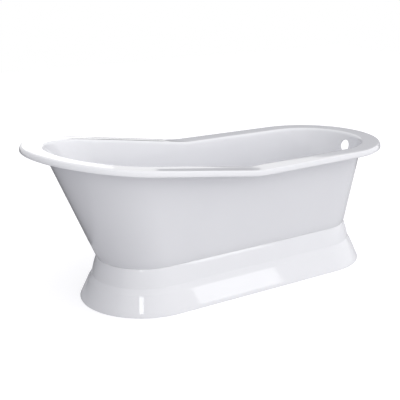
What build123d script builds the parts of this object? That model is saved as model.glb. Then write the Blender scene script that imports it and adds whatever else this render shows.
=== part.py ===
from build123d import *
from math import acos, atan, cos, degrees, radians, sin
import os

# A free-standing slipper bath of cast iron on a cast-iron plinth, in millimetres.
# +X points to the foot end, +Z is up, and the origin is on the floor under the middle of the rim.

# The rim seen from above: a head circle, a foot circle and the straight sides that touch both
rim_length = 1829.0
rim_head_radius = 387.0
rim_foot_radius = 354.5

# The rim seen from the side: level over the foot half, then bent up to the head
foot_rim_height = 600.0
head_rim_height = 732.5
bend_from_middle = 4.0
bend_radius = 500.0

# The rolled rim in section
overhang = 94.0
rim_thickness = 8.0
lip_depth = 25.0
lip_wall = 8.0
rim_edge_radius = 9.0
lip_edge_radius = 2.5
rim_inner_radius = 16.0

# The waist, where the bath stands on its plinth
joint_height = 194.5
waist_head_reach = 602.0
waist_foot_reach = 741.0
waist_head_radius = 221.0
waist_foot_radius = 218.0

# The shell and its basin, whose floor falls towards the waste hole
shell_wall = 7.0
floor_height = 165.0
floor_thickness = 8.0
floor_radius = 130.0
floor_fall = 0.4
shell_margin = 1.0

# Waste and overflow holes
waste_from_waist = 190.0
waste_bore = 52.0
waste_dish = 88.0
waste_dish_depth = 3.0
overflow_bore = 60.0
overflow_below_rim = 65.0

# The plinth in section, each offset counted outwards from the waist
plinth_wall = 8.0
seal_thickness = 2.0
seal_recess = 1.0
flange_width = 10.0
flange_thickness = 12.0
collar_offset = 23.0
collar_height = 112.0
collar_hollow = 1.5
skirt_offset = 39.0
skirt_height = 87.0
base_offset = 79.0
ledge_radius = 5.0

# The opening in the plinth's foot end for the waste pipe
pipe_arch_width = 110.0
pipe_arch_height = 125.0

# The clamps that hold the bath down on its plinth
clamp_stations = {"head": -300.0, "foot": 440.0}
boss_diameter = 34.0
boss_from_waist = 62.0
boss_height = 148.0
stud_diameter = 10.0
stud_hole_depth = 14.0
stud_tail = 6.0
thread_clearance = 0.05
strap_width = 40.0
strap_thickness = 6.0
strap_gap = 3.0
strap_end_margin = 18.0
strap_bend_radius = 5.0
strap_from_wall = 3.0
slot_length = 22.0
slot_width = 12.0
pad_margin = 10.0
washer_diameter = 24.0
washer_bore = 10.6
washer_thickness = 2.5
nut_width = 16.0
nut_thickness = 8.0

os.makedirs("parts", exist_ok=True)


def finish(piece, name):
    piece.part.label = name
    export_step(piece.part, f"parts/{name}.step")


def touch_angle(head_reach, foot_reach, head_radius, foot_radius):
    # where the straight sides leave the end circles, counted from +X
    between_centres = head_reach + foot_reach - head_radius - foot_radius
    return degrees(acos((head_radius - foot_radius) / between_centres))


def egg_line(head_reach, foot_reach, head_radius, foot_radius):
    # the plan of the bath at one level, starting at the foot tip
    touch = touch_angle(head_reach, foot_reach, head_radius, foot_radius)
    foot_centre = (foot_reach - foot_radius, 0)
    with BuildLine() as line:
        foot_left = CenterArc(foot_centre, foot_radius, 0, touch)
        head = CenterArc((head_radius - head_reach, 0), head_radius, touch, 360 - 2 * touch)
        foot_right = CenterArc(foot_centre, foot_radius, -touch, touch)
        Line(foot_left @ 1, head @ 0)
        Line(head @ 1, foot_right @ 0)
    return line.line


def rim_plan(inset):
    reach = rim_length / 2 - inset
    with BuildSketch() as plan:
        add(egg_line(reach, reach, rim_head_radius - inset, rim_foot_radius - inset))
        make_face()
    return plan.sketch


# How far each part of the wall leans out for each millimetre that it rises,
# so that it meets the rim's underside one overhang in from the edge all round
rim_slope = (head_rim_height - foot_rim_height) / (rim_length / 2 - bend_from_middle)
shoulder_under_rim = foot_rim_height + rim_slope * (rim_length / 2 - rim_head_radius) - lip_depth
head_under_rim = head_rim_height - lip_depth
foot_under_rim = foot_rim_height - lip_depth
head_lean = (rim_length / 2 - overhang - waist_head_reach) / (head_under_rim - joint_height)
foot_lean = (rim_length / 2 - overhang - waist_foot_reach) / (foot_under_rim - joint_height)
shoulder_lean = (rim_head_radius - overhang - waist_head_radius) / (shoulder_under_rim - joint_height)
side_lean = (rim_foot_radius - overhang - waist_foot_radius) / (foot_under_rim - joint_height)


def wall_plan(height, inset):
    # the wall's outer plan at one height, or one that lies inside it
    rise = height - joint_height
    with BuildSketch() as plan:
        add(
            egg_line(
                waist_head_reach + head_lean * rise - inset,
                waist_foot_reach + foot_lean * rise - inset,
                waist_head_radius + shoulder_lean * rise - inset,
                waist_foot_radius + side_lean * rise - inset,
            )
        )
        make_face()
    return plan.sketch


def under_rim(drop):
    # the side view of all that lies lower than the rim's top face, less the drop
    bend = (-bend_from_middle, foot_rim_height - drop)
    far = rim_length
    with BuildSketch() as view:
        with BuildLine():
            Polyline(
                (-far, -far),
                (-far, bend[1] + rim_slope * (far - bend_from_middle)),
                bend,
                (far, bend[1]),
                (far, -far),
                close=True,
            )
        make_face()
        fillet(view.vertices().sort_by_distance(bend)[0], radius=bend_radius + drop)
    return view.sketch


def outline_edges(faces):
    # the long edges of a band of faces, without the seams that cross it
    return faces.edges().filter_by(Axis.Y, reverse=True)


def inner_edges(faces):
    # those that lie well inside the rim's plan
    inside = rim_plan(overhang / 2).face()
    return outline_edges(faces).filter_by(
        lambda edge: inside.is_inside(Vector(edge.center().X, edge.center().Y, 0))
    )


def facing(part, direction, above):
    # the faces that look up or down, higher than a given level
    return part.faces().filter_by(
        lambda face: direction * face.normal_at().Z > 0.9 and face.center().Z > above
    )


def clamp_place(station, side):
    # a plane on the floor at the waist's straight side: its X runs outwards and its Z up
    touch = radians(touch_angle(waist_head_reach, waist_foot_reach, waist_head_radius, waist_foot_radius))
    foot_centre = waist_foot_reach - waist_foot_radius
    reach = (waist_foot_radius + (foot_centre - station) * cos(touch)) / sin(touch)
    return Plane(
        origin=(station, side * reach, 0),
        x_dir=(cos(touch), side * sin(touch), 0),
        z_dir=(0, 0, 1),
    )


clamp_places = {
    f"{end}_{side_name}": clamp_place(station, side)
    for end, station in clamp_stations.items()
    for side_name, side in (("left", -1), ("right", 1))
}

# The rim as a full slab, rounded outside
with BuildPart() as rim_slab:
    with BuildSketch():
        add(rim_plan(0))
    extrude(amount=rim_length)
    with BuildSketch(Plane.XZ):
        add(under_rim(0))
    extrude(amount=rim_length, both=True, mode=Mode.INTERSECT)
    with BuildSketch(Plane.XZ):
        add(under_rim(lip_depth))
    extrude(amount=rim_length, both=True, mode=Mode.SUBTRACT)
    fillet(outline_edges(facing(rim_slab, 1, 0)), radius=rim_edge_radius)
    fillet(outline_edges(facing(rim_slab, -1, 0)), radius=lip_edge_radius)

# The hollow under the rim, inside its turned-down lip
with BuildPart() as rim_hollow:
    with BuildSketch():
        add(rim_plan(lip_wall))
    extrude(amount=rim_length)
    with BuildSketch(Plane.XZ):
        add(under_rim(rim_thickness))
    extrude(amount=rim_length, both=True, mode=Mode.INTERSECT)
    fillet(outline_edges(facing(rim_hollow, 1, 0)), radius=rim_edge_radius - rim_thickness / 2)

# The wall, solid through, from the waist up into the rim
wall_top = head_rim_height + overhang
with BuildPart() as wall_block:
    with BuildSketch(Plane.XY.offset(joint_height)):
        add(wall_plan(joint_height, 0))
    with BuildSketch(Plane.XY.offset(wall_top)):
        add(wall_plan(wall_top, 0))
    loft(ruled=True)
    with BuildSketch(Plane.XZ):
        add(under_rim(rim_thickness / 2))
    extrude(amount=rim_length, both=True, mode=Mode.INTERSECT)

# The bowl below the waist, that hangs inside the plinth
bowl_height = floor_height - floor_thickness
bowl_top = joint_height + 2 * floor_radius
with BuildPart() as bowl:
    with BuildSketch(Plane.XY.offset(bowl_height).rotated((0, floor_fall, 0))):
        add(wall_plan(bowl_height, shell_margin))
    with BuildSketch(Plane.XY.offset(bowl_top)):
        add(wall_plan(bowl_top, shell_margin))
    loft(ruled=True)
    fillet(bowl.faces().sort_by(Axis.Z)[0].edges(), radius=floor_radius + shell_wall)
    split(bisect_by=Plane.XY.offset(joint_height), keep=Keep.BOTTOM)

# The room inside the basin
floor_plane = Plane.XY.offset(floor_height).rotated((0, floor_fall, 0))
with BuildPart() as basin_room:
    with BuildSketch(floor_plane):
        add(wall_plan(floor_height, shell_wall))
    with BuildSketch(Plane.XY.offset(wall_top)):
        add(wall_plan(wall_top, shell_wall))
    loft(ruled=True)
    fillet(basin_room.faces().sort_by(Axis.Z)[0].edges(), radius=floor_radius)

# Bath: rolled rim, wall and bowl in one casting, with four bosses for the clamps
overflow_height = foot_rim_height - overflow_below_rim
overflow_tilt = atan(foot_lean)
overflow_plane = Plane(
    origin=(waist_foot_reach + foot_lean * (overflow_height - joint_height) - shell_wall / 2, 0, overflow_height),
    z_dir=(cos(overflow_tilt), 0, -sin(overflow_tilt)),
)
waste_station = waist_foot_reach - waste_from_waist
with BuildPart() as tub_shell:
    add(rim_slab.part)
    add(rim_hollow.part, mode=Mode.SUBTRACT)
    add(wall_block.part)
    add(bowl.part)
    for place in clamp_places.values():
        with BuildSketch(place.offset(boss_height)):
            with Locations((-boss_from_waist, 0)):
                Circle(boss_diameter / 2)
        extrude(amount=floor_radius / 4)
    add(basin_room.part, mode=Mode.SUBTRACT)
    fillet(inner_edges(facing(tub_shell, -1, foot_under_rim)), radius=rim_inner_radius - rim_thickness)
    fillet(inner_edges(facing(tub_shell, 1, foot_under_rim)), radius=rim_inner_radius)
    for place in clamp_places.values():
        with BuildSketch(place.offset(boss_height)):
            with Locations((-boss_from_waist, 0)):
                Circle(stud_diameter / 2 + thread_clearance)
        extrude(amount=stud_hole_depth, mode=Mode.SUBTRACT)
    with BuildSketch(floor_plane.offset(-waste_dish_depth)):
        with Locations((waste_station, 0)):
            Circle(waste_dish / 2 - 3 * waste_dish_depth)
    with BuildSketch(floor_plane):
        with Locations((waste_station, 0)):
            Circle(waste_dish / 2)
    loft(ruled=True, mode=Mode.SUBTRACT)
    with BuildSketch(floor_plane.offset(-2 * floor_thickness)):
        with Locations((waste_station, 0)):
            Circle(waste_bore / 2)
    extrude(amount=3 * floor_thickness, mode=Mode.SUBTRACT)
    with BuildSketch(overflow_plane):
        Circle(overflow_bore / 2)
    extrude(amount=2 * shell_wall, both=True, mode=Mode.SUBTRACT)
finish(tub_shell, "tub_shell")


def waist_line():
    return egg_line(waist_head_reach, waist_foot_reach, waist_head_radius, waist_foot_radius)


# Plinth: one hollow section carried round the waist, with the pads that the clamps pull on
plinth_top = joint_height - seal_thickness
flange_under = plinth_top - flange_thickness
foot = waist_foot_reach
wall_offset_under_flange = collar_offset * flange_thickness / (plinth_top - collar_height) - plinth_wall
pad_reach = strap_from_wall + strap_thickness + pad_margin - wall_offset_under_flange
with BuildPart() as plinth:
    with BuildSketch(Plane.XZ) as section:
        with BuildLine():
            SagittaArc((foot, plinth_top), (foot + collar_offset, collar_height), collar_hollow)
            Polyline(
                (foot + collar_offset, collar_height),
                (foot + skirt_offset, skirt_height),
                (foot + base_offset, 0),
                (foot + base_offset - plinth_wall, 0),
                (foot + skirt_offset - plinth_wall, skirt_height),
                (foot + collar_offset - plinth_wall, collar_height),
                (foot + wall_offset_under_flange, flange_under),
                (foot - flange_width, flange_under),
                (foot - flange_width, plinth_top),
                (foot, plinth_top),
            )
        make_face()
        ledge = section.vertices().filter_by(lambda corner: skirt_height <= corner.Y <= collar_height)
        fillet(ledge, radius=ledge_radius)
    sweep(path=waist_line())
    for place in clamp_places.values():
        with BuildSketch(place.offset(flange_under)):
            with Locations(((wall_offset_under_flange - pad_reach) / 2, 0)):
                Rectangle(pad_reach + wall_offset_under_flange, strap_width + pad_margin)
        extrude(amount=flange_thickness)
    with BuildSketch(Plane.YZ.offset(waist_foot_reach - base_offset)):
        springing = pipe_arch_height - pipe_arch_width / 2
        with Locations((0, springing / 2)):
            Rectangle(pipe_arch_width, springing)
        with Locations((0, springing)):
            Circle(pipe_arch_width / 2)
    extrude(amount=3 * base_offset, mode=Mode.SUBTRACT)
finish(plinth, "plinth")

# Bead of sealant between the plinth's top and the bath's shoulder
with BuildPart() as joint_seal:
    with BuildSketch(Plane.XZ):
        with Locations((foot - (flange_width + seal_recess) / 2, joint_height - seal_thickness / 2)):
            Rectangle(flange_width - seal_recess, seal_thickness)
    sweep(path=waist_line())
finish(joint_seal, "joint_seal")

# Hooked clamp straps: each hangs on a stud of the bath and pulls up under a pad of the plinth
strap_top = boss_height - strap_gap
strap_under = strap_top - strap_thickness
riser_outside = wall_offset_under_flange - strap_from_wall
riser_inside = riser_outside - strap_thickness
strap_end = -boss_from_waist - strap_end_margin
for name, place in clamp_places.items():
    across = Plane(origin=place.origin, x_dir=place.x_dir, z_dir=place.x_dir.cross(place.z_dir))
    with BuildPart() as strap:
        with BuildSketch(across) as strap_side:
            with BuildLine():
                Polyline(
                    (strap_end, strap_under),
                    (riser_outside, strap_under),
                    (riser_outside, flange_under),
                    (riser_inside, flange_under),
                    (riser_inside, strap_top),
                    (strap_end, strap_top),
                    close=True,
                )
            make_face()
            outer_bend = strap_side.vertices().sort_by_distance((riser_outside, strap_under))[0]
            fillet(outer_bend, radius=strap_bend_radius + strap_thickness)
            inner_bend = strap_side.vertices().sort_by_distance((riser_inside, strap_top))[0]
            fillet(inner_bend, radius=strap_bend_radius)
        extrude(amount=strap_width / 2, both=True)
        with BuildSketch(place.offset(strap_under)):
            with Locations((-boss_from_waist, 0)):
                SlotOverall(slot_length, slot_width)
        extrude(amount=strap_thickness, mode=Mode.SUBTRACT)
    finish(strap, f"clamp_strap_{name}")

# Studs, washers and nuts: one of each at every clamp
washer_under = strap_under - washer_thickness
nut_under = washer_under - nut_thickness
with BuildPart() as studs:
    for place in clamp_places.values():
        with BuildSketch(place.offset(nut_under - stud_tail)):
            with Locations((-boss_from_waist, 0)):
                Circle(stud_diameter / 2)
        extrude(amount=boss_height + stud_hole_depth - nut_under + stud_tail)
finish(studs, "clamp_studs")

with BuildPart() as washers:
    for place in clamp_places.values():
        with BuildSketch(place.offset(washer_under)):
            with Locations((-boss_from_waist, 0)):
                Circle(washer_diameter / 2)
                Circle(washer_bore / 2, mode=Mode.SUBTRACT)
        extrude(amount=washer_thickness)
finish(washers, "clamp_washers")

with BuildPart() as nuts:
    for place in clamp_places.values():
        with BuildSketch(place.offset(nut_under)):
            with Locations((-boss_from_waist, 0)):
                RegularPolygon(nut_width / 2, 6, major_radius=False)
                Circle(stud_diameter / 2 + thread_clearance, mode=Mode.SUBTRACT)
        extrude(amount=nut_thickness)
finish(nuts, "clamp_nuts")
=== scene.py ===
import math

import bpy
from mathutils import Matrix, Vector


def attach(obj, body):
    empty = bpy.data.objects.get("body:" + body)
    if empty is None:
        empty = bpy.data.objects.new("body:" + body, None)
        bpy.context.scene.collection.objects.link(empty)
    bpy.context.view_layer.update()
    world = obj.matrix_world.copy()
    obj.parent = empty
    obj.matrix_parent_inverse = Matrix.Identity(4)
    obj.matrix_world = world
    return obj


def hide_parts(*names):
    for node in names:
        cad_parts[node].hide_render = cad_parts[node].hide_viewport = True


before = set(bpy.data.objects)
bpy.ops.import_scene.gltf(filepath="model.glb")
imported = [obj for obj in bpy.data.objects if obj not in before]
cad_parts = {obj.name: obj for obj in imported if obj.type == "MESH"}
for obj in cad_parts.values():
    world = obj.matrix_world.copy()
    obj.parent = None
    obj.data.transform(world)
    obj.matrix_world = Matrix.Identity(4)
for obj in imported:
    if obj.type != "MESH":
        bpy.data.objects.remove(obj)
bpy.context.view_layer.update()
print("frame loaded")

view = {
    "target": (0.0, 0.0, 0.35),
    "azimuth": -0.5864,
    "elevation": 0.2997,
    "distance": 3.976,
    "lens": 75.7,
    "shiftX": -0.0371,
    "shiftY": 0.0130,
}


def makeCamera(settings):
    turn = settings["azimuth"]
    rise = settings["elevation"]
    back = Vector((math.sin(turn) * math.cos(rise), -math.cos(turn) * math.cos(rise), math.sin(rise)))
    right = Vector((math.cos(turn), math.sin(turn), 0.0))
    up = back.cross(right)
    data = bpy.data.cameras.new("photoCamera")
    data.sensor_width = 36.0
    data.lens = settings["lens"]
    data.shift_x = settings["shiftX"]
    data.shift_y = settings["shiftY"]
    camera = bpy.data.objects.new("photoCamera", data)
    bpy.context.collection.objects.link(camera)
    place = Matrix((right, up, back)).transposed().to_4x4()
    place.translation = Vector(settings["target"]) + settings["distance"] * back
    camera.matrix_world = place
    bpy.context.scene.camera = camera


makeCamera(view)
print("camera placed")

# sizes shared by the bath and its plinth, in metres
waist = {"headReach": 0.602, "footReach": 0.741, "headRadius": 0.221, "footRadius": 0.218, "height": 0.1945}
rim = {
    "halfLength": 0.9145,
    "headRadius": 0.387,
    "footRadius": 0.3545,
    "footHeight": 0.600,
    "slope": 0.14552,
    "bend": -0.004,
    "bendRadius": 0.5,
    "overhang": 0.094,
    "thickness": 0.008,
    "lip": 0.025,
    "lipWall": 0.008,
}
lean = {"head": 0.42843, "foot": 0.21060, "shoulder": 0.1585, "side": 0.11258}
columnCounts = {"foot": 96, "side": 72, "head": 112}


def outlineColumns(counts):
    # one entry for each column of vertices, round the bath from the foot end
    columns = []
    for part in ("foot", "left", "head", "right"):
        count = counts.get(part, counts["side"])
        columns += [(part, step / count) for step in range(count)]
    return columns


def outlinePoint(column, headReach, footReach, headRadius, footRadius):
    # a point of the plan and its outward direction
    part, share = column
    footMiddle = footReach - footRadius
    headMiddle = headRadius - headReach
    touch = math.acos((headRadius - footRadius) / (footMiddle - headMiddle))
    if part == "foot":
        turn, middle, radius = touch * (2 * share - 1), footMiddle, footRadius
    elif part == "head":
        turn, middle, radius = touch + 2 * (math.pi - touch) * share, headMiddle, headRadius
    else:
        turn = touch if part == "left" else -touch
        along = share if part == "left" else 1 - share
        middle = footMiddle + (headMiddle - footMiddle) * along
        radius = footRadius + (headRadius - footRadius) * along
    outward = Vector((math.cos(turn), math.sin(turn)))
    return Vector((middle, 0.0)) + radius * outward, outward


def rimPoint(column, inset=0.0):
    reach = rim["halfLength"] - inset
    return outlinePoint(column, reach, reach, rim["headRadius"] - inset, rim["footRadius"] - inset)


def wallPoint(column, height, inset=0.0):
    rise = height - waist["height"]
    return outlinePoint(
        column,
        waist["headReach"] + lean["head"] * rise - inset,
        waist["footReach"] + lean["foot"] * rise - inset,
        waist["headRadius"] + lean["shoulder"] * rise - inset,
        waist["footRadius"] + lean["side"] * rise - inset,
    )


def rimTop(x):
    # height of the rim's top face along the bath: level, a bend, then straight up to the head
    angle = math.atan(rim["slope"])
    reach = rim["bendRadius"] * math.tan(angle / 2)
    start = rim["bend"] + reach
    end = rim["bend"] - reach * math.cos(angle)
    if x >= start:
        return rim["footHeight"]
    if x <= end:
        return rim["footHeight"] + rim["slope"] * (rim["bend"] - x)
    return rim["footHeight"] + rim["bendRadius"] - math.sqrt(rim["bendRadius"] ** 2 - (x - start) ** 2)


def roundCorner(corner, first, second, radius, steps, hollow=False):
    # points of the arc that rounds a corner between two faces, given their outward directions
    side = -1 if hollow else 1
    middle = corner - side * radius * (first + second) / (1 + first.dot(second))
    start = math.atan2(first.y, first.x)
    sweep = math.atan2(first.x * second.y - first.y * second.x, first.dot(second))
    points = []
    for step in range(steps + 1):
        turn = start + sweep * step / steps
        points.append(middle + side * radius * Vector((math.cos(turn), math.sin(turn))))
    return points


def crossing(pointA, alongA, pointB, alongB):
    # where two lines of the section meet
    cross = alongA.x * alongB.y - alongA.y * alongB.x
    gap = pointB - pointA
    return pointA + alongA * ((gap.x * alongB.y - gap.y * alongB.x) / cross)


def deselectAll():
    if bpy.context.object and bpy.context.object.mode != "OBJECT":
        bpy.ops.object.mode_set(mode="OBJECT")
    bpy.ops.object.select_all(action="DESELECT")


def ringTube(name, rings, closed=True):
    # a tube through rings of equal count: a circle is extruded ring by ring,
    # and each new ring is moved to its place
    deselectAll()
    count = len(rings[0])
    bpy.ops.mesh.primitive_circle_add(vertices=count, radius=1.0, fill_type="NOTHING")
    tube = bpy.context.object
    tube.name = tube.data.name = name
    bpy.ops.object.mode_set(mode="EDIT")
    bpy.ops.mesh.select_all(action="SELECT")
    for layer in range(1, len(rings)):
        bpy.ops.mesh.extrude_edges_move(TRANSFORM_OT_translate={"value": (0.0, 0.0, 1.0)})
    bpy.ops.mesh.select_all(action="SELECT")
    if closed:
        bpy.ops.object.mode_set(mode="OBJECT")
        top = len(rings) - 1
        for vertex in tube.data.vertices:
            vertex.select = vertex.co.z < 0.5 or vertex.co.z > top - 0.5
        for edge in tube.data.edges:
            low, high = (tube.data.vertices[i].co.z for i in edge.vertices)
            edge.select = abs(low - high) < 0.5 and (low < 0.5 or low > top - 0.5)
        for face in tube.data.polygons:
            face.select = False
        bpy.ops.object.mode_set(mode="EDIT")
        bpy.ops.mesh.select_mode(type="EDGE")
        bpy.ops.mesh.bridge_edge_loops()
    bpy.ops.object.mode_set(mode="OBJECT")
    for vertex in tube.data.vertices:
        layer = round(vertex.co.z)
        turn = math.atan2(-vertex.co.x, vertex.co.y) / (2 * math.pi)
        vertex.co = rings[layer][round(turn * count) % count]
    bpy.ops.object.mode_set(mode="EDIT")
    bpy.ops.mesh.select_all(action="SELECT")
    bpy.ops.mesh.normals_make_consistent(inside=False)
    bpy.ops.object.mode_set(mode="OBJECT")
    return tube


def smooth(piece, angle=35.0):
    deselectAll()
    piece.select_set(True)
    bpy.context.view_layer.objects.active = piece
    bpy.ops.object.shade_smooth_by_angle(angle=math.radians(angle))


bath = {
    "wall": 0.007,
    "wallSteps": 16,
    "outerSteps": 12,
    "leanFrom": 0.25,
    "leanTo": 0.35,
    "floor": 0.165,
    "floorThickness": 0.008,
    "floorRadius": 0.130,
    "floorFall": math.tan(math.radians(0.4)),
    "brimRadius": 0.016,
    "edgeRadius": 0.008,
    "faceRadius": 0.040,
    "lipEdgeRadius": 0.0025,
    "hollowRadius": 0.005,
    "armpitRadius": 0.008,
    "belly": 0.0025,
    "bellyDepth": 0.30,
    "waistEdge": 0.0012,
    "waste": 0.551,
    "wasteBore": 0.026,
    "wasteDish": 0.044,
    "dishDepth": 0.003,
    "overflow": (0.8092, 0.0, 0.535),
    "overflowBore": 0.030,
    "overflowTilt": 11.893,
    "overflowRound": 0.003,
    "overflowReach": 0.012,
    "overflowSides": 64,
    "overflowFlare": 3,
    "overflowCurve": 0.256,
}


def wasteTurns(columns, height):
    # direction of each column round the waste hole: evened out, so that no side of the hole gets few points
    turns = []
    last = None
    for column in columns:
        place, _ = wallPoint(column, height)
        straight = math.atan2(place.y, place.x - bath["waste"])
        if last is not None:
            while straight < last - math.pi:
                straight += 2 * math.pi
        last = straight
        turns.append(straight)
    even = [turns[0] + 2 * math.pi * number / len(columns) for number in range(len(columns))]
    return [0.5 * one + 0.5 * other for one, other in zip(turns, even)]


def floorHeight(x, drop=0.0):
    return bath["floor"] - drop - bath["floorFall"] * x


def bathSection(column, wasteTurn):
    # the closed section of the bath at one column, from the waste hole up over the rim and back underneath
    edge, outward = rimPoint(column)
    along = Vector((-outward.y, outward.x))

    def sectionPoint(inset, height, slip=True):
        place = edge - inset * outward
        if slip:
            wall, _ = wallPoint(column, height)
            place = place + along * (wall - edge).dot(along)
        return Vector((place.x, place.y, height))

    def wallInset(height, inset):
        wall, _ = wallPoint(column, height, inset)
        return (edge - wall).dot(outward)

    def topLine(inset, drop=0.0):
        here = rimTop(edge.x - inset * outward.x)
        ahead = rimTop(edge.x - (inset + 0.002) * outward.x)
        slope = (ahead - here) / 0.002
        return Vector((inset, here - drop)), Vector((1.0, slope)).normalized()

    def wallLine(height, inset):
        low = wallInset(height - 0.01, inset)
        high = wallInset(height + 0.01, inset)
        return Vector((wallInset(height, inset), height)), Vector((high - low, 0.02)).normalized()

    def swellAt(height, top):
        # the inner wall swells a little towards its middle
        depth = top - height
        share = min(depth / bath["bellyDepth"], 1.0)
        return bath["belly"] * (math.sin(math.pi * share) if depth > 0 else math.pi * share)

    def innerInset(height, top):
        return wallInset(height, bath["wall"] + swellAt(height, top))

    def rolledFace(topAt, topSlope, low):
        # from the flat top round the outer edge and down the crowned face of the lip
        edgeRadius, faceRadius = bath["edgeRadius"], bath["faceRadius"]
        slant = math.sqrt(1 + topSlope ** 2)
        least, most = 0.0, math.radians(70)
        for step in range(30):
            turn = (least + most) / 2
            middle = Vector((
                faceRadius - (faceRadius - edgeRadius) * math.cos(turn),
                low + (faceRadius - edgeRadius) * math.sin(turn),
            ))
            gap = (topAt + topSlope * middle.x - middle.y) / slant - edgeRadius
            least, most = (turn, most) if gap > 0 else (least, turn)
        points = []
        first = math.pi / 2 + math.atan(topSlope)
        for step in range(9):
            angle = first + (math.pi - turn - first) * step / 8
            points.append(middle + edgeRadius * Vector((math.cos(angle), math.sin(angle))))
        for step in range(1, 5):
            angle = turn * (1 - step / 5)
            points.append(Vector((faceRadius * (1 - math.cos(angle)), low + faceRadius * math.sin(angle))))
        return points

    # rolled rim: every direction is (inwards, up)
    topPoint, topAlong = topLine(rim["overhang"])
    topNormal = Vector((-topAlong.y, topAlong.x))
    innerPoint = Vector((innerInset(topPoint.y, topPoint.y), topPoint.y))
    innerHigh = innerInset(topPoint.y + 0.01, topPoint.y)
    innerLow = innerInset(topPoint.y - 0.01, topPoint.y)
    innerUp = Vector((innerHigh - innerLow, 0.02))
    innerUp.normalize()
    innerNormal = Vector((innerUp.y, -innerUp.x))
    brimCorner = crossing(topPoint, topAlong, innerPoint, innerUp)
    brim = roundCorner(brimCorner, innerNormal, topNormal, bath["brimRadius"], 14)
    outerTop, outerAlong = topLine(0.0)
    lipLow = outerTop.y - rim["lip"] + bath["lipEdgeRadius"]
    outerEdge = rolledFace(outerTop.y, outerAlong.y / outerAlong.x, lipLow)
    lipUnder, lipAlong = topLine(0.0, rim["lip"])
    lipNormal = Vector((lipAlong.y, -lipAlong.x))
    lipOut = roundCorner(lipUnder, Vector((-1.0, 0.0)), lipNormal, bath["lipEdgeRadius"], 4)
    lipInPoint, _ = topLine(rim["lipWall"], rim["lip"])
    lipIn = roundCorner(lipInPoint, lipNormal, Vector((1.0, 0.0)), bath["lipEdgeRadius"], 4)
    hollowPoint, hollowAlong = topLine(rim["lipWall"], rim["thickness"])
    hollowNormal = Vector((hollowAlong.y, -hollowAlong.x))
    hollow = roundCorner(hollowPoint, Vector((1.0, 0.0)), hollowNormal, bath["hollowRadius"], 5, hollow=True)
    ceilingPoint, ceilingAlong = topLine(rim["overhang"] - bath["armpitRadius"], rim["thickness"])
    ceilingNormal = Vector((ceilingAlong.y, -ceilingAlong.x))
    wallPlace, wallUp = wallLine(topPoint.y - rim["lip"], 0.0)
    wallNormal = Vector((-wallUp.y, wallUp.x))
    corner = crossing(ceilingPoint, ceilingAlong, wallPlace, wallUp)
    armpit = roundCorner(corner, ceilingNormal, wallNormal, bath["armpitRadius"], 8, hollow=True)

    # inside: floor, floor curve and wall up to the brim
    leanFrom, leanTo = bath["leanFrom"], bath["leanTo"]
    leanRun = wallInset(leanFrom, bath["wall"]) - wallInset(leanTo, bath["wall"])
    leanHere = leanRun / (leanTo - leanFrom)
    slant = math.sqrt(1 + leanHere ** 2)

    def bowlCurve(inset, radius, drop, steps):
        # the arc between the leaned wall and the floor, as 3D points from the floor up
        wallThere, side = wallPoint(column, leanFrom, inset)
        low = floorHeight(wallThere.x - radius * side.x, drop)
        centreHeight = low + radius
        onWall, side = wallPoint(column, centreHeight - radius * leanHere / slant, inset)
        centreOut = -radius / slant
        points = []
        start = -math.pi / 2
        end = -math.atan(leanHere)
        for step in range(steps + 1):
            turn = start + (end - start) * step / steps
            height = centreHeight + radius * math.sin(turn)
            place = onWall + side * (centreOut + radius * math.cos(turn))
            points.append(Vector((place.x, place.y, height)))
        return points

    inside = bowlCurve(bath["wall"], bath["floorRadius"], 0.0, 16)
    under = bowlCurve(0.001, bath["floorRadius"] + bath["wall"], bath["floorThickness"], 16)
    under = [point for point in under if point.z < waist["height"] - 0.002]

    wasteOut = Vector((math.cos(wasteTurn), math.sin(wasteTurn)))

    def wastePoint(radius, drop):
        place = Vector((bath["waste"], 0.0)) + radius * wasteOut
        return Vector((place.x, place.y, floorHeight(place.x, drop)))

    loop = []
    bore = bath["wasteBore"]
    dish = bath["wasteDish"]
    depth = bath["dishDepth"]
    for radius, drop in (
        (bore, bath["floorThickness"] - 0.001),
        (bore, depth + 0.0015),
        (bore + 0.0004, depth + 0.0005),
        (bore + 0.0015, depth),
        (dish - 0.0095, depth),
        (dish - 0.0070, depth - 0.0004),
        (dish - 0.0035, 0.0013),
        (dish - 0.0010, 0.0004),
        (dish + 0.0025, 0.0),
    ):
        loop.append(wastePoint(radius, drop))
    outerWaste = wastePoint(dish + 0.0025, 0.0)
    floorEnd = inside[0]
    for step in range(1, 7):
        loop.append(outerWaste.lerp(floorEnd, step / 7))
    loop += inside
    brimLow = brim[0].y
    wallLow = inside[-1].z
    for step in range(1, bath["wallSteps"]):
        height = wallLow + (brimLow - wallLow) * step / bath["wallSteps"]
        place, _ = wallPoint(column, height, bath["wall"] + swellAt(height, topPoint.y))
        loop.append(Vector((place.x, place.y, height)))
    loop += [sectionPoint(point.x, point.y) for point in brim]
    flatIn, flatOut = brim[-1], outerEdge[0]
    for step in range(1, 4):
        inset = flatIn.x + (flatOut.x - flatIn.x) * step / 4
        height = rimTop(edge.x - inset * outward.x)
        loop.append(sectionPoint(inset, height, slip=False))
    loop += [sectionPoint(point.x, point.y, slip=False) for point in outerEdge + lipOut + lipIn + hollow]
    hollowEnd, armpitStart = hollow[-1], armpit[0]
    for step in range(1, 3):
        inset = hollowEnd.x + (armpitStart.x - hollowEnd.x) * step / 3
        height = rimTop(edge.x - inset * outward.x) - rim["thickness"]
        loop.append(sectionPoint(inset, height, slip=False))
    loop += [sectionPoint(point.x, point.y) for point in armpit]
    armpitLow = armpit[-1].y
    waistEdge = bath["waistEdge"]
    for step in range(1, bath["outerSteps"]):
        height = armpitLow + (waist["height"] + waistEdge - armpitLow) * step / bath["outerSteps"]
        place, _ = wallPoint(column, height)
        loop.append(Vector((place.x, place.y, height)))
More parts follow.
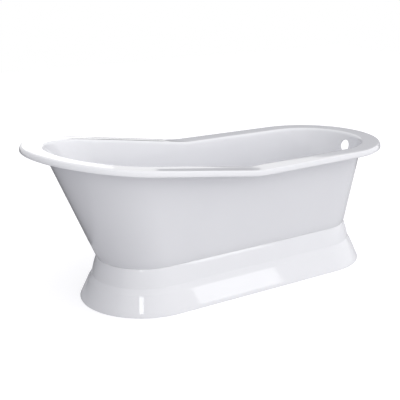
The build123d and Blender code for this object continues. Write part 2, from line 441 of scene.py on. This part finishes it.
    for inset, lift in ((0.0, waistEdge), (0.3 * waistEdge, 0.3 * waistEdge), (waistEdge, 0.0)):
        place, _ = wallPoint(column, waist["height"] + lift, inset)
        loop.append(Vector((place.x, place.y, waist["height"] + lift)))
    return loop, under


def makeBath():
    columns = outlineColumns(columnCounts)
    turns = wasteTurns(columns, bath["floor"])
    loops = []
    unders = []
    for column, turn in zip(columns, turns):
        loop, under = bathSection(column, turn)
        loops.append(loop)
        unders.append((under, turn))
    underCount = min(len(under) for under, _ in unders)
    for loop, (under, turn) in zip(loops, unders):
        loop += list(reversed(under[:underCount]))
        wasteOut = Vector((math.cos(turn), math.sin(turn)))
        place = Vector((bath["waste"], 0.0)) + (bath["wasteBore"] + 0.0006) * wasteOut
        last = Vector((place.x, place.y, floorHeight(place.x, bath["floorThickness"])))
        start = under[0]
        for step in range(1, 5):
            loop.append(start.lerp(last, step / 4))
    rings = [[loop[layer] for loop in loops] for layer in range(len(loops[0]))]
    print("bath rings", len(rings), "columns", len(columns))
    return ringTube("bath", rings)


bathShell = makeBath()
print("bath shaped", len(bathShell.data.polygons), "faces")


def cutOverflow(piece):
    # the overflow hole is cut square to the foot wall, by a cutter that flares to round the hole's edges
    tilt = math.radians(bath["overflowTilt"])
    outward = Vector((math.cos(tilt), 0.0, -math.sin(tilt)))
    across = Vector((0.0, 1.0, 0.0))
    upward = Vector((math.sin(tilt), 0.0, math.cos(tilt)))
    middle = Vector(bath["overflow"])
    bore, edge = bath["overflowBore"], bath["overflowRound"]
    swell = bath["belly"] * math.sin(math.pi * (rim["footHeight"] - middle.z) / bath["bellyDepth"])
    profile = []
    for angle in (78, 60, 45, 30, 15, 0):
        turn = math.radians(angle)
        profile.append((edge * (1 - math.cos(turn)), edge * (1 - math.sin(turn))))
    slope = (profile[0][0] - profile[1][0], profile[0][1] - profile[1][1])
    flare = bath["overflowFlare"]
    profile.insert(0, (profile[0][0] + flare * slope[0], profile[0][1] + flare * slope[1]))

    def cutterRing(radius, reach, curved=True):
        # points round the hole, which follow the curve of the foot wall or lie flat beyond it
        ring = []
        for step in range(bath["overflowSides"]):
            turn = 2 * math.pi * step / bath["overflowSides"]
            sag = (radius * math.cos(turn)) ** 2 / (2 * bath["overflowCurve"]) if curved else 0.0
            spoke = math.cos(turn) * across + math.sin(turn) * upward
            ring.append(middle + (reach - sag) * outward + radius * spoke)
        return ring

    rings = []
    for side, half in ((-1, bath["wall"] / 2 + swell), (1, bath["wall"] / 2)):
        beyond = side * (half + bath["overflowReach"])
        group = [cutterRing(bore + profile[0][0], beyond, curved=False)]
        group += [cutterRing(bore + wider, side * (half - deeper)) for wider, deeper in profile]
        rings += group if side < 0 else group[::-1]
    cutter = ringTube("overflowCutter", rings, closed=False)
    bpy.ops.object.mode_set(mode="EDIT")
    bpy.ops.mesh.select_all(action="SELECT")
    bpy.ops.mesh.fill_holes(sides=0)
    bpy.ops.mesh.normals_make_consistent(inside=False)
    bpy.ops.object.mode_set(mode="OBJECT")
    cutAway(piece, cutter)


def cutAway(piece, cutter):
    deselectAll()
    piece.select_set(True)
    bpy.context.view_layer.objects.active = piece
    cut = piece.modifiers.new("cut", "BOOLEAN")
    cut.operation = "DIFFERENCE"
    cut.solver = "EXACT"
    cut.object = cutter
    bpy.ops.object.modifier_apply(modifier="cut")
    bpy.data.objects.remove(cutter, do_unlink=True)


cutOverflow(bathShell)
smooth(bathShell)
print("overflow hole cut")

plinth = {
    "wall": 0.008,
    "top": 0.1925,
    "flangeThickness": 0.012,
    "flangeWidth": 0.010,
    "collarOffset": 0.023,
    "collarHeight": 0.112,
    "collarHollow": 0.0015,
    "skirtOffset": 0.039,
    "skirtHeight": 0.087,
    "baseOffset": 0.079,
    "ledgeRadius": 0.005,
    "edgeRadius": 0.0012,
    "archWidth": 0.110,
    "archHeight": 0.125,
    "archMiddle": 0.75,
    "archLength": 0.3,
    "archBelow": 0.05,
}


def hollowArc(start, end, sag, steps):
    # points of a shallow arc between two points, sagging to the left of its direction
    chord = end - start
    half = chord.length / 2
    radius = (half ** 2 + sag ** 2) / (2 * sag)
    left = Vector((-chord.y, chord.x)).normalized()
    middle = (start + end) / 2 + left * (sag - radius)
    first = start - middle
    sweep = 2 * math.asin(half / radius)
    points = []
    for step in range(steps + 1):
        turn = -sweep * step / steps
        points.append(middle + Vector((
            first.x * math.cos(turn) - first.y * math.sin(turn),
            first.x * math.sin(turn) + first.y * math.cos(turn),
        )))
    return points


def plinthSection():
    # (outwards from the waist, up), from the top outer edge down the outside and back up the inside
    top = Vector((0.0, plinth["top"]))
    collar = Vector((plinth["collarOffset"], plinth["collarHeight"]))
    skirt = Vector((plinth["skirtOffset"], plinth["skirtHeight"]))
    base = Vector((plinth["baseOffset"], 0.0))
    radius = plinth["ledgeRadius"]

    def outwardOf(start, end):
        way = (end - start).normalized()
        return Vector((way.y, -way.x))

    ledgeOut = outwardOf(skirt, collar)
    skirtOut = outwardOf(base, skirt)
    arc = hollowArc(top, collar, plinth["collarHollow"], 8)
    arcEnd = outwardOf(arc[-1], arc[-2])
    ledgeTop = roundCorner(collar, arcEnd, ledgeOut, radius, 5, hollow=True)
    ledgeLow = roundCorner(skirt, ledgeOut, skirtOut, radius, 5)
    edge = plinth["edgeRadius"]
    topEdge = roundCorner(top, Vector((0.0, 1.0)), outwardOf(arc[1], arc[0]), edge, 3)
    baseEdge = roundCorner(base, skirtOut, Vector((0.0, -1.0)), edge, 3)
    clearOfLedge = ledgeTop[0].y + 0.002
    points = topEdge + [point for point in arc[1:-1] if point.y > clearOfLedge]
    points += ledgeTop + ledgeLow
    lowest = ledgeLow[-1]
    highest = baseEdge[0]
    points += [lowest.lerp(highest, step / 5) for step in range(1, 5)]
    points += baseEdge
    wall = plinth["wall"]
    underTop = plinth["top"] - plinth["flangeThickness"]
    collarSlope = plinth["collarOffset"] / (plinth["top"] - plinth["collarHeight"])
    underOffset = plinth["flangeThickness"] * collarSlope - wall
    for offset, height in (
        (plinth["baseOffset"] - wall, 0.0),
        (plinth["skirtOffset"] - wall, plinth["skirtHeight"]),
        (plinth["collarOffset"] - wall, plinth["collarHeight"]),
        (underOffset, underTop),
        (-plinth["flangeWidth"], underTop),
        (-plinth["flangeWidth"], plinth["top"]),
    ):
        points.append(Vector((offset, height)))
    return points


def makePlinth():
    section = plinthSection()
    rings = []
    columns = outlineColumns(columnCounts)
    waistLine = [wallPoint(column, waist["height"]) for column in columns]
    for point in section:
        rings.append([
            Vector((place.x + point.x * outward.x, place.y + point.x * outward.y, point.y))
            for place, outward in waistLine
        ])
    return ringTube("plinth_skirt", rings)


def cutArch(piece):
    # the opening at the foot end that the waste pipe passes through
    deselectAll()
    radius = plinth["archWidth"] / 2
    springing = plinth["archHeight"] - radius
    bpy.ops.mesh.primitive_cylinder_add(
        vertices=64,
        radius=radius,
        depth=plinth["archLength"],
        location=(plinth["archMiddle"], 0.0, springing),
        rotation=(0.0, math.pi / 2, 0.0),
    )
    cutter = bpy.context.object
    cutter.name = "archCutter"
    bpy.ops.object.transform_apply(location=True, rotation=True, scale=True)
    for vertex in cutter.data.vertices:
        if vertex.co.z < springing - 1e-6:
            vertex.co.y = math.copysign(radius, vertex.co.y) if abs(vertex.co.y) > 1e-6 else 0.0
            vertex.co.z = -plinth["archBelow"]
    cutAway(piece, cutter)


plinthSkirt = makePlinth()
cutArch(plinthSkirt)
smooth(plinthSkirt, 25.0)
print("plinth shaped", len(plinthSkirt.data.polygons), "faces")

enamel = {
    "colour": (0.80, 0.805, 0.83, 1.0),
    "shade": (0.76, 0.765, 0.795, 1.0),
    "roughness": 0.045,
    "ior": 1.52,
    "cloudScale": 3.0,
    "cloudDetail": 3.0,
    "waveScale": 5.5,
    "waveHeight": 0.0006,
    "peelScale": 90.0,
    "peelHeight": 0.00002,
}


def newMaterial(name):
    material = bpy.data.materials.new(name)
    material.use_nodes = True
    nodes = material.node_tree.nodes
    shader = nodes["Principled BSDF"]
    return material, nodes, material.node_tree.links, shader


def enamelMaterial():
    material, nodes, links, shader = newMaterial("whiteEnamel")
    place = nodes.new("ShaderNodeTexCoord")
    cloud = nodes.new("ShaderNodeTexNoise")
    cloud.inputs["Scale"].default_value = enamel["cloudScale"]
    cloud.inputs["Detail"].default_value = enamel["cloudDetail"]
    tint = nodes.new("ShaderNodeMix")
    tint.data_type = "RGBA"
    tint.inputs["A"].default_value = enamel["colour"]
    tint.inputs["B"].default_value = enamel["shade"]
    wave = nodes.new("ShaderNodeTexNoise")
    wave.inputs["Scale"].default_value = enamel["waveScale"]
    wave.inputs["Detail"].default_value = 1.0
    peel = nodes.new("ShaderNodeTexNoise")
    peel.inputs["Scale"].default_value = enamel["peelScale"]
    waveBump = nodes.new("ShaderNodeBump")
    waveBump.inputs["Strength"].default_value = 1.0
    waveBump.inputs["Distance"].default_value = enamel["waveHeight"]
    peelBump = nodes.new("ShaderNodeBump")
    peelBump.inputs["Distance"].default_value = enamel["peelHeight"]
    links.new(place.outputs["Object"], cloud.inputs["Vector"])
    links.new(place.outputs["Object"], wave.inputs["Vector"])
    links.new(place.outputs["Object"], peel.inputs["Vector"])
    links.new(cloud.outputs["Fac"], tint.inputs["Factor"])
    links.new(tint.outputs["Result"], shader.inputs["Base Color"])
    links.new(wave.outputs["Fac"], waveBump.inputs["Height"])
    links.new(peel.outputs["Fac"], peelBump.inputs["Height"])
    links.new(waveBump.outputs["Normal"], peelBump.inputs["Normal"])
    links.new(peelBump.outputs["Normal"], shader.inputs["Normal"])
    shader.inputs["Roughness"].default_value = enamel["roughness"]
    shader.inputs["IOR"].default_value = enamel["ior"]
    return material


whiteEnamel = enamelMaterial()


def dress(piece, material):
    piece.data.materials.clear()
    piece.data.materials.append(material)


dress(bathShell, whiteEnamel)
dress(plinthSkirt, whiteEnamel)
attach(bathShell, "root")
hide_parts("tub_shell")
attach(plinthSkirt, "root")
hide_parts("plinth")
print("finishes applied")

# small parts hidden inside the plinth
bossSize = {
    "radius": 0.017,
    "under": 0.148,
    "bore": 0.00505,
    "boreTop": 0.162,
    "castFrom": 0.10,
    "sides": 40,
}
padSize = {
    "width": 0.050,
    "inner": 0.03843,
    "outer": 0.05743,
    "under": 0.1805,
    "top": 0.1925,
    "taper": 0.0015,
    "edge": 0.0012,
}


def studPlaces():
    # the middle of each stud of the frame
    corners = {}
    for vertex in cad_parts["clamp_studs"].data.vertices:
        corners.setdefault((vertex.co.x > 0, vertex.co.y > 0), []).append(vertex.co.copy())
    places = []
    for key in sorted(corners):
        group = corners[key]
        low = Vector([min(co[axis] for co in group) for axis in range(3)])
        high = Vector([max(co[axis] for co in group) for axis in range(3)])
        places.append((low + high) / 2)
    return places


def makeBosses(shell):
    # each boss is turned on its stud and runs up into the bowl above it
    radius, bore, under = bossSize["radius"], bossSize["bore"], bossSize["under"]
    turned = (
        (bore, bossSize["boreTop"]),
        (bore, under + 0.0006),
        (bore + 0.0006, under),
        (radius - 0.001, under),
        (radius - 0.0003, under + 0.0003),
        (radius, under + 0.001),
    )
    rooted = (  # heights above the bowl's underside
        (radius + 0.0003, -0.005),
        (radius + 0.0012, -0.002),
        (radius + 0.0040, 0.0005),
        (radius + 0.0030, 0.003),
    )

    def bossRing(middle, size, height, onBowl):
        ring = []
        for step in range(bossSize["sides"]):
            turn = 2 * math.pi * step / bossSize["sides"]
            place = Vector((middle.x + size * math.cos(turn), middle.y + size * math.sin(turn), height))
            if onBowl:
                start = Vector((place.x, place.y, bossSize["castFrom"]))
                hit, above, _, _ = shell.ray_cast(start, Vector((0.0, 0.0, 1.0)))
                place.z = (above.z if hit else bath["floor"]) + height
            ring.append(place)
        return ring

    bosses = []
    for number, middle in enumerate(studPlaces()):
        rings = [bossRing(middle, size, height, False) for size, height in turned]
        rings += [bossRing(middle, size, lift, True) for size, lift in rooted]
        bosses.append(ringTube(f"bath_boss_{number + 1}", rings))
        smooth(bosses[-1], 40.0)
    return bosses


def makePads():
    # the pads that the straps press against, inside the plinth's wall: one is shaped on the axis,
    # and each stud gets a copy, turned half round on the other side
    deselectAll()
    bpy.ops.mesh.primitive_cube_add(size=1.0)
    first = bpy.context.object
    for vertex in first.data.vertices:
        outer = vertex.co.y > 0
        halfWidth = padSize["width"] / 2 - (0.0 if outer else padSize["taper"])
        vertex.co = (
            math.copysign(halfWidth, vertex.co.x),
            padSize["outer"] if outer else padSize["inner"],
            padSize["top"] if vertex.co.z > 0 else padSize["under"],
        )
    edge = first.modifiers.new("edge", "BEVEL")
    edge.width = padSize["edge"]
    edge.segments = 3
    bpy.ops.object.modifier_apply(modifier="edge")
    smooth(first, 40.0)
    pads = []
    for number, middle in enumerate(studPlaces()):
        side = 1 if middle.y > 0 else -1
        name = f"plinth_pad_{number + 1}"
        pad = bpy.data.objects.new(name, first.data.copy())
        pad.data.name = name
        bpy.context.collection.objects.link(pad)
        for vertex in pad.data.vertices:
            vertex.co.x = middle.x + side * vertex.co.x
            vertex.co.y = middle.y + side * vertex.co.y
        pads.append(pad)
    bpy.data.objects.remove(first, do_unlink=True)
    return pads


bosses = makeBosses(bathShell)
pads = makePads()
print("bosses and pads shaped")

sealant = {
    "colour": (0.78, 0.78, 0.79, 1.0),
    "shade": (0.70, 0.70, 0.72, 1.0),
    "roughness": 0.42,
    "smoother": 0.06,
    "rougher": 0.08,
    "patchScale": 60.0,
    "grainScale": 900.0,
    "grainHeight": 0.00005,
    "metal": 0.0,
}
casting = {
    "colour": (0.20, 0.20, 0.21, 1.0),
    "shade": (0.10, 0.10, 0.11, 1.0),
    "roughness": 0.62,
    "smoother": 0.08,
    "rougher": 0.12,
    "patchScale": 14.0,
    "grainScale": 260.0,
    "grainHeight": 0.0004,
    "metal": 0.0,
}
plated = {
    "colour": (0.66, 0.67, 0.69, 1.0),
    "shade": (0.50, 0.51, 0.54, 1.0),
    "roughness": 0.30,
    "smoother": 0.08,
    "rougher": 0.12,
    "patchScale": 150.0,
    "grainScale": 1400.0,
    "grainHeight": 0.00002,
    "metal": 1.0,
}


def speckledMaterial(name, settings):
    # two tones in soft patches, with an uneven gloss and a fine grain
    material, nodes, links, shader = newMaterial(name)
    place = nodes.new("ShaderNodeTexCoord")
    patches = nodes.new("ShaderNodeTexNoise")
    patches.inputs["Scale"].default_value = settings["patchScale"]
    patches.inputs["Detail"].default_value = 5.0
    tint = nodes.new("ShaderNodeMix")
    tint.data_type = "RGBA"
    tint.inputs["A"].default_value = settings["colour"]
    tint.inputs["B"].default_value = settings["shade"]
    gloss = nodes.new("ShaderNodeMapRange")
    gloss.inputs["From Min"].default_value = 0.3
    gloss.inputs["From Max"].default_value = 0.7
    gloss.inputs["To Min"].default_value = settings["roughness"] - settings["smoother"]
    gloss.inputs["To Max"].default_value = settings["roughness"] + settings["rougher"]
    grain = nodes.new("ShaderNodeTexNoise")
    grain.inputs["Scale"].default_value = settings["grainScale"]
    grain.inputs["Detail"].default_value = 3.0
    bump = nodes.new("ShaderNodeBump")
    bump.inputs["Distance"].default_value = settings["grainHeight"]
    links.new(place.outputs["Object"], patches.inputs["Vector"])
    links.new(place.outputs["Object"], grain.inputs["Vector"])
    links.new(patches.outputs["Fac"], tint.inputs["Factor"])
    links.new(tint.outputs["Result"], shader.inputs["Base Color"])
    links.new(patches.outputs["Fac"], gloss.inputs["Value"])
    links.new(gloss.outputs["Result"], shader.inputs["Roughness"])
    links.new(grain.outputs["Fac"], bump.inputs["Height"])
    links.new(bump.outputs["Normal"], shader.inputs["Normal"])
    shader.inputs["Metallic"].default_value = settings["metal"]
    return material


sealantBead = speckledMaterial("whiteSealant", sealant)
rawCasting = speckledMaterial("primedCasting", casting)
zincPlate = speckledMaterial("zincPlate", plated)


def dressNode(name, material):
    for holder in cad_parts[name].material_slots:
        holder.material = material


dressNode("joint_seal", sealantBead)
for name in sorted(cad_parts):
    if name.startswith("clamp_"):
        dressNode(name, zincPlate)


def primeHidden(piece, hidden):
    # the faces that the enamel doesn't reach keep the primed casting
    piece.data.materials.append(rawCasting)
    for face in piece.data.polygons:
        if hidden(face.center, face.normal):
            face.material_index = 1


def underBowl(centre, normal):
    return centre.z < waist["height"] - 0.0008 and normal.z < -0.05


def insidePlinth(centre, normal):
    footMiddle = waist["footReach"] - waist["footRadius"]
    headMiddle = waist["headRadius"] - waist["headReach"]
    axis = Vector((min(max(centre.x, headMiddle), footMiddle), 0.0))
    outward = (Vector((centre.x, centre.y)) - axis).normalized()
    return normal.x * outward.x + normal.y * outward.y < -0.05 or normal.z < -0.7


primeHidden(bathShell, underBowl)
primeHidden(plinthSkirt, insidePlinth)
for boss in bosses:
    dress(boss, rawCasting)
    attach(boss, "root")
    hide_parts("tub_shell")
for pad in pads:
    dress(pad, rawCasting)
    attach(pad, "root")
    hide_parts("plinth")
print("hidden parts finished")

# studio: a white floor and soft light, stronger from the right, with lamps that mostly show in the gloss
studio = {
    "floorSize": 14.0,
    "floorColour": (0.54, 0.54, 0.56, 1.0),
    "floorGlow": 0.60,
    "lightFrom": (0.62, -0.76, 0.20),
    "lightColour": (1.0, 0.995, 1.0, 1.0),
    "shadeColour": (0.90, 0.91, 1.0, 1.0),
    "lightStrong": 2.05,
    "lightWeak": 0.0,
    "topFrom": (-0.45, -0.50, 0.74),
    "topStrong": 1.12,
    "topWeak": 0.24,
}
lamps = {
    "windowHigh": {
        "from": (1.82, -3.0, 1.375), "to": (1.82, 0.0, 1.375), "size": (0.86, 1.05),
        "radiance": 2.7, "soft": True, "only": "plinth",
    },
    "doorLeft": {
        "from": (-2.6, -2.94, 1.64), "to": (-0.3, -0.2, 0.1), "size": (0.5, 0.30),
        "radiance": 6.0, "soft": False, "only": "plinth",
    },
    "paneFar": {
        "from": (2.87, -3.0, 0.43), "to": (2.87, 0.0, 0.43), "size": (0.14, 0.08),
        "radiance": 7.0, "soft": False, "only": "bath",
    },
    "spotUpper": {
        "from": (-0.96, -2.74, 0.90), "to": (0.8, 0.0, 0.5), "size": (0.05, 0.05),
        "radiance": 9.0, "soft": False, "only": "bath",
    },
    "spotLower": {
        "from": (-1.14, -2.65, 0.785), "to": (0.8, 0.0, 0.45), "size": (0.05, 0.05),
        "radiance": 9.0, "soft": False, "only": "bath",
    },
    "glowBack": {
        "from": (0.95, 3.5, 1.13), "to": (0.1, 0.0, 0.9), "size": (0.9, 0.34),
        "radiance": 0.95, "soft": False, "only": "bath",
    },
}
cards = {
    "cardLeft": {
        "start": (-1.60, -0.40), "end": (0.85, 1.85), "height": 0.70,
        "near": (0.45, 0.45, 0.48, 1.0), "far": (0.01, 0.01, 0.012, 1.0), "black": 0.35,
    },
    "cardRight": {
        "start": (2.40, 0.20), "end": (0.85, 1.80), "height": 1.05,
        "near": (0.10, 0.10, 0.11, 1.0), "far": (0.16, 0.16, 0.18, 1.0), "black": 0.5,
    },
}


def makeFloor():
    deselectAll()
    bpy.ops.mesh.primitive_plane_add(size=studio["floorSize"])
    floor = bpy.context.object
    floor.name = "studioFloor"
    material, nodes, links, shader = newMaterial("studioFloor")
    shader.inputs["Base Color"].default_value = studio["floorColour"]
    shader.inputs["Roughness"].default_value = 0.9
    shader.inputs["Specular IOR Level"].default_value = 0.0
    shader.inputs["Emission Color"].default_value = (1.0, 1.0, 1.0, 1.0)
    rays = nodes.new("ShaderNodeLightPath")
    glow = nodes.new("ShaderNodeMath")
    glow.operation = "MULTIPLY"
    glow.inputs[1].default_value = studio["floorGlow"]
    links.new(rays.outputs["Is Camera Ray"], glow.inputs[0])
    links.new(glow.outputs["Value"], shader.inputs["Emission Strength"])
    floor.data.materials.append(material)


def makeWorld():
    # soft light, stronger from one side near the horizon and from another above;
    # the camera and the gloss see plain white
    world = bpy.data.worlds.new("studioWorld")
    bpy.context.scene.world = world
    world.use_nodes = True
    nodes = world.node_tree.nodes
    links = world.node_tree.links
    sky = nodes["Background"]
    way = nodes.new("ShaderNodeTexCoord")
    side = nodes.new("ShaderNodeVectorMath")
    side.operation = "DOT_PRODUCT"
    side.inputs[1].default_value = Vector(studio["lightFrom"]).normalized()
    sideLevel = nodes.new("ShaderNodeMapRange")
    sideLevel.inputs["From Min"].default_value = -1.0
    sideLevel.inputs["To Min"].default_value = studio["lightWeak"]
    sideLevel.inputs["To Max"].default_value = studio["lightStrong"]
    parts = nodes.new("ShaderNodeSeparateXYZ")
    topSide = nodes.new("ShaderNodeVectorMath")
    topSide.operation = "DOT_PRODUCT"
    topSide.inputs[1].default_value = Vector(studio["topFrom"]).normalized()
    topLevel = nodes.new("ShaderNodeMapRange")
    topLevel.inputs["From Min"].default_value = -1.0
    topLevel.inputs["To Min"].default_value = studio["topWeak"]
    topLevel.inputs["To Max"].default_value = studio["topStrong"]
    rise = nodes.new("ShaderNodeMapRange")
    level = nodes.new("ShaderNodeMix")
    tint = nodes.new("ShaderNodeMix")
    tint.data_type = "RGBA"
    tint.inputs["A"].default_value = studio["shadeColour"]
    tint.inputs["B"].default_value = studio["lightColour"]
    white = nodes.new("ShaderNodeBackground")
    white.inputs["Color"].default_value = (1.0, 1.0, 1.0, 1.0)
    rays = nodes.new("ShaderNodeLightPath")
    seen = nodes.new("ShaderNodeMath")
    seen.operation = "MAXIMUM"
    clear = nodes.new("ShaderNodeMath")
    clear.operation = "MAXIMUM"
    mix = nodes.new("ShaderNodeMixShader")
    links.new(way.outputs["Generated"], side.inputs[0])
    links.new(side.outputs["Value"], sideLevel.inputs["Value"])
    links.new(way.outputs["Generated"], parts.inputs["Vector"])
    links.new(parts.outputs["Z"], rise.inputs["Value"])
    links.new(rise.outputs["Result"], level.inputs["Factor"])
    links.new(way.outputs["Generated"], topSide.inputs[0])
    links.new(topSide.outputs["Value"], topLevel.inputs["Value"])
    links.new(topLevel.outputs["Result"], level.inputs["B"])
    links.new(sideLevel.outputs["Result"], level.inputs["A"])
    links.new(level.outputs["Result"], sky.inputs["Strength"])
    links.new(level.outputs["Result"], tint.inputs["Factor"])
    links.new(tint.outputs["Result"], sky.inputs["Color"])
    links.new(rays.outputs["Is Camera Ray"], seen.inputs[0])
    links.new(rays.outputs["Is Glossy Ray"], seen.inputs[1])
    links.new(seen.outputs["Value"], clear.inputs[0])
    links.new(rays.outputs["Is Transmission Ray"], clear.inputs[1])
    links.new(clear.outputs["Value"], mix.inputs["Fac"])
    links.new(sky.outputs["Background"], mix.inputs[1])
    links.new(white.outputs["Background"], mix.inputs[2])
    links.new(mix.outputs["Shader"], nodes["World Output"].inputs["Surface"])


def makeLamp(name, settings):
    # a "soft" lamp lights the surface too, and the rest show only in the gloss;
    # "only" names the one piece that a lamp reaches
    data = bpy.data.lights.new(name, "AREA")
    data.shape = "RECTANGLE"
    data.size, data.size_y = settings["size"]
    data.energy = settings["radiance"] * math.pi * data.size * data.size_y
    lamp = bpy.data.objects.new(name, data)
    bpy.context.collection.objects.link(lamp)
    start = Vector(settings["from"])
    way = Vector(settings["to"]) - start
    place = way.to_track_quat("-Z", "Y").to_matrix().to_4x4()
    place.translation = start
    lamp.matrix_world = place
    lamp.visible_camera = False
    lamp.visible_diffuse = settings["soft"]
    if settings["only"]:
        reach = bpy.data.collections.new(name + "Reach")
        reach.objects.link({"bath": bathShell, "plinth": plinthSkirt}[settings["only"]])
        lamp.light_linking.receiver_collection = reach


def makeCard(name, settings):
    # a dark card that only the gloss sees: it draws the thin dark outline of the enamel
    deselectAll()
    bpy.ops.mesh.primitive_plane_add(size=1.0)
    card = bpy.context.object
    card.name = name
    start = Vector((*settings["start"], 0.0))
    end = Vector((*settings["end"], 0.0))
    for vertex in card.data.vertices:
        foot = start.lerp(end, vertex.co.x + 0.5)
        vertex.co = foot + Vector((0.0, 0.0, (vertex.co.y + 0.5) * settings["height"]))
    material, nodes, links, shader = newMaterial(name)
    shader.inputs["Roughness"].default_value = 1.0
    shader.inputs["Specular IOR Level"].default_value = 0.0
    place = nodes.new("ShaderNodeTexCoord")
    parts = nodes.new("ShaderNodeSeparateXYZ")
    along = nodes.new("ShaderNodeMapRange")
    along.inputs["From Min"].default_value = start.x
    along.inputs["From Max"].default_value = start.lerp(end, settings["black"]).x
    fade = nodes.new("ShaderNodeMix")
    fade.data_type = "RGBA"
    fade.inputs["A"].default_value = settings["near"]
    fade.inputs["B"].default_value = settings["far"]
    links.new(place.outputs["Object"], parts.inputs["Vector"])
    links.new(parts.outputs["X"], along.inputs["Value"])
    links.new(along.outputs["Result"], fade.inputs["Factor"])
    links.new(fade.outputs["Result"], shader.inputs["Base Color"])
    card.data.materials.append(material)
    card.visible_camera = False
    card.visible_diffuse = False
    card.visible_shadow = False


makeFloor()
makeWorld()
for name, settings in lamps.items():
    makeLamp(name, settings)
for name, settings in cards.items():
    makeCard(name, settings)
bpy.context.scene.view_settings.view_transform = "Standard"
print("studio lit")
